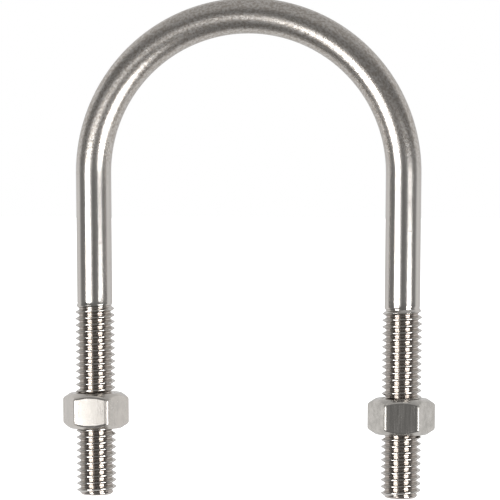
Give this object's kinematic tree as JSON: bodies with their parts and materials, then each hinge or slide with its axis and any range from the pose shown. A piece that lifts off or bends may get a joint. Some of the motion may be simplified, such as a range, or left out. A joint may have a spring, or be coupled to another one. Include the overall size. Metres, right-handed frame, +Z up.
{
  "type": "u-bolt",
  "caption": "Round-bar U-bolt with threaded legs and a hex nut on each leg, for clamping a pipe to a plate or bracket.",
  "frame": {"origin": "the centre of the bend, on the axis of the pipe that the bolt holds", "axes": "+Z is up, towards the crown of the bend, with the legs pointing down; Y runs along the pipe; X runs from the left leg to the right leg"},
  "size_m": [0.0901, 0.015, 0.1194],
  "materials": {
    "rod_steel": "bright stainless steel, lightly polished and faintly grained, with a rolled thread",
    "nut_steel": "bright stainless steel with fine vertical grain on its flats"
  },
  "bodies": {
    "u_bolt": {"u_bolt": "rod_steel"},
    "left_nut": {"left_nut": "nut_steel"},
    "right_nut": {"right_nut": "nut_steel"}
  },
  "joints": [
    {"name": "left_nut_travel", "type": "slide", "parent": "u_bolt", "child": "left_nut", "axis": [-0.0087, 0, 1], "range_m": [-0.01588, 0.01905]},
    {"name": "right_nut_travel", "type": "slide", "parent": "u_bolt", "child": "right_nut", "axis": [0.0087, 0, 1], "range_m": [-0.01429, 0.02064]}
  ]
}
